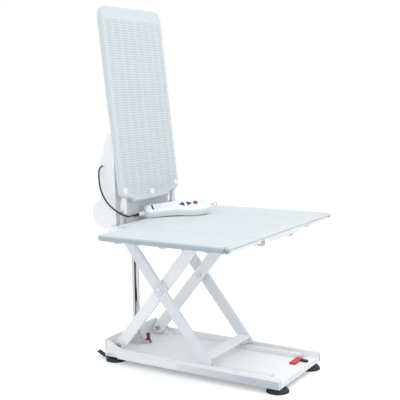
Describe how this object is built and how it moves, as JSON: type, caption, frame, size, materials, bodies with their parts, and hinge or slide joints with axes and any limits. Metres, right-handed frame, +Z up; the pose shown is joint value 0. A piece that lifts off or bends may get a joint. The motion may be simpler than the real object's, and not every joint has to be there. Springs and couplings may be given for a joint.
{
  "type": "bath lift",
  "caption": "Powered bath lift: a padded seat with side flaps and a tall backrest on a scissor frame, a suction-foot base tray, a lift tube behind and a corded hand control.",
  "frame": {"origin": "bottom centre of the bounding box, on the floor under the four suction feet (hand cord left out)", "axes": "+Z up, -Y the way the sitter faces, +X the sitter's left; the lift is stored fully raised"},
  "size_m": [0.71, 0.6946, 1.1415],
  "materials": {
    "white_plastic": "satin white moulding",
    "coated_steel": "white powder coat",
    "grey_plastic": "matt",
    "cover_fabric": "pale blue-grey ribbed cover",
    "black_rubber": "matt",
    "bright_steel": "polished",
    "plain_steel": "plain",
    "red_plastic": "satin red",
    "blue_button": "matt",
    "stop_button": "matt",
    "nylon": "matt",
    "battery_sleeve": "shrink sleeve"
  },
  "bodies": {
    "base": {"base_tray": "white_plastic", "guide_rail_right": "grey_plastic", "guide_rail_left": "grey_plastic", "suction_foot_front_right": "black_rubber", "suction_foot_front_left": "black_rubber", "suction_foot_rear_right": "black_rubber", "suction_foot_rear_left": "black_rubber", "base_pivot_bolt_right": "plain_steel", "base_pivot_bolt_left": "plain_steel", "rod_shoe": "grey_plastic", "latch_axle": "plain_steel", "lift_tube": "bright_steel", "spindle_nut": "nylon"},
    "rear_latch": {"rear_latch": "red_plastic"},
    "front_slider": {"front_slider": "red_plastic", "slider_thumb_pad": "black_rubber"},
    "inner_legs": {"inner_leg_right": "coated_steel", "inner_leg_left": "coated_steel", "inner_axle": "plain_steel"},
    "outer_legs": {"outer_leg_right": "coated_steel", "outer_leg_left": "coated_steel", "front_cross_plate": "coated_steel", "mid_pivot_right": "coated_steel", "mid_pivot_left": "coated_steel"},
    "slide_bushes": {"slide_bush_right": "nylon", "slide_bush_left": "nylon"},
    "seat": {"seat_plate": "white_plastic", "seat_rail_right": "grey_plastic", "seat_rail_left": "grey_plastic", "seat_cover": "cover_fabric", "back_hinge_right": "grey_plastic", "back_hinge_left": "grey_plastic", "back_hinge_pin_right": "plain_steel", "back_hinge_pin_left": "plain_steel", "drive_housing": "white_plastic", "drive_barrel": "white_plastic", "housing_front": "grey_plastic", "motor": "plain_steel", "gearbox": "grey_plastic", "battery_pack": "battery_sleeve", "spindle": "plain_steel", "handset_lower": "white_plastic", "handset_upper": "white_plastic", "strain_relief": "black_rubber", "hand_cord": "black_rubber"},
    "back": {"back_panel": "white_plastic", "back_cover": "cover_fabric"},
    "seat_roller_right": {"seat_roller_right": "nylon"},
    "base_roller_right": {"base_roller_right": "nylon"},
    "flap_right": {"flap_plate_right": "white_plastic", "flap_cover_right": "cover_fabric"},
    "seat_roller_left": {"seat_roller_left": "nylon"},
    "base_roller_left": {"base_roller_left": "nylon"},
    "flap_left": {"flap_plate_left": "white_plastic", "flap_cover_left": "cover_fabric"},
    "button_up": {"button_up": "blue_button"},
    "button_down": {"button_down": "blue_button"},
    "button_stop": {"button_stop": "stop_button"}
  },
  "joints": [
    {"name": "lift", "type": "hinge", "parent": "base", "child": "inner_legs", "pos_m": [0, 0.25575, 0.054], "axis": [1, 0, 0], "range_deg": [0, 48]},
    {"name": "scissor", "type": "hinge", "parent": "inner_legs", "child": "outer_legs", "pos_m": [0, 0.08727, 0.26205], "axis": [1, 0, 0], "range_deg": [-96.1, 0]},
    {"name": "seat_level", "type": "hinge", "parent": "outer_legs", "child": "slide_bushes", "pos_m": [0, 0.2298, 0.43807], "axis": [1, 0, 0], "range_deg": [0, 48.05]},
    {"name": "seat_shift", "type": "slide", "parent": "slide_bushes", "child": "seat", "axis": [0, 1, 0], "range_m": [0, 0.01525]},
    {"name": "back_fold", "type": "hinge", "parent": "seat", "child": "back", "pos_m": [0, 0.21225, 0.49497], "axis": [1, 0, 0], "range_deg": [0, 32]},
    {"name": "rear_latch_turn", "type": "hinge", "parent": "base", "child": "rear_latch", "pos_m": [0.006, 0.22875, 0.0363], "axis": [1, 0, 0], "range_deg": [0, 55]},
    {"name": "front_slider_move", "type": "slide", "parent": "base", "child": "front_slider", "axis": [-1, 0, 0], "range_m": [0, 0.018]},
    {"name": "seat_roller_right_spin", "type": "hinge", "parent": "inner_legs", "child": "seat_roller_right", "pos_m": [-0.098, -0.05526, 0.43807], "axis": [1, 0, 0], "continuous": true},
    {"name": "base_roller_right_spin", "type": "hinge", "parent": "outer_legs", "child": "base_roller_right", "pos_m": [-0.115, -0.08121, 0.054], "axis": [1, 0, 0], "continuous": true},
    {"name": "flap_right_fold", "type": "hinge", "parent": "seat", "child": "flap_right", "pos_m": [-0.1875, -0.02275, 0.46447], "axis": [0, 1, 0], "range_deg": [0, 80]},
    {"name": "seat_roller_left_spin", "type": "hinge", "parent": "inner_legs", "child": "seat_roller_left", "pos_m": [0.098, -0.05526, 0.43807], "axis": [1, 0, 0], "continuous": true},
    {"name": "base_roller_left_spin", "type": "hinge", "parent": "outer_legs", "child": "base_roller_left", "pos_m": [0.115, -0.08121, 0.054], "axis": [1, 0, 0], "continuous": true},
    {"name": "flap_left_fold", "type": "hinge", "parent": "seat", "child": "flap_left", "pos_m": [0.1875, -0.02275, 0.46447], "axis": [0, -1, 0], "range_deg": [0, 80]},
    {"name": "button_up_press", "type": "slide", "parent": "seat", "child": "button_up", "axis": [0.3524, 0.358, -0.8647], "range_m": [0, 0.0015], "stiffness_N_per_m": 600},
    {"name": "button_down_press", "type": "slide", "parent": "seat", "child": "button_down", "axis": [0.3524, 0.358, -0.8647], "range_m": [0, 0.0015], "stiffness_N_per_m": 600},
    {"name": "button_stop_press", "type": "slide", "parent": "seat", "child": "button_stop", "axis": [0.3524, 0.358, -0.8647], "range_m": [0, 0.0015], "stiffness_N_per_m": 600}
  ],
  "couplings": [
    {"joint": "scissor", "follows": "lift", "ratio": -2},
    {"joint": "seat_level", "follows": "lift", "ratio": 1},
    {"joint": "seat_shift", "follows": "lift", "m_per_rad": 0.018175}
  ]
}
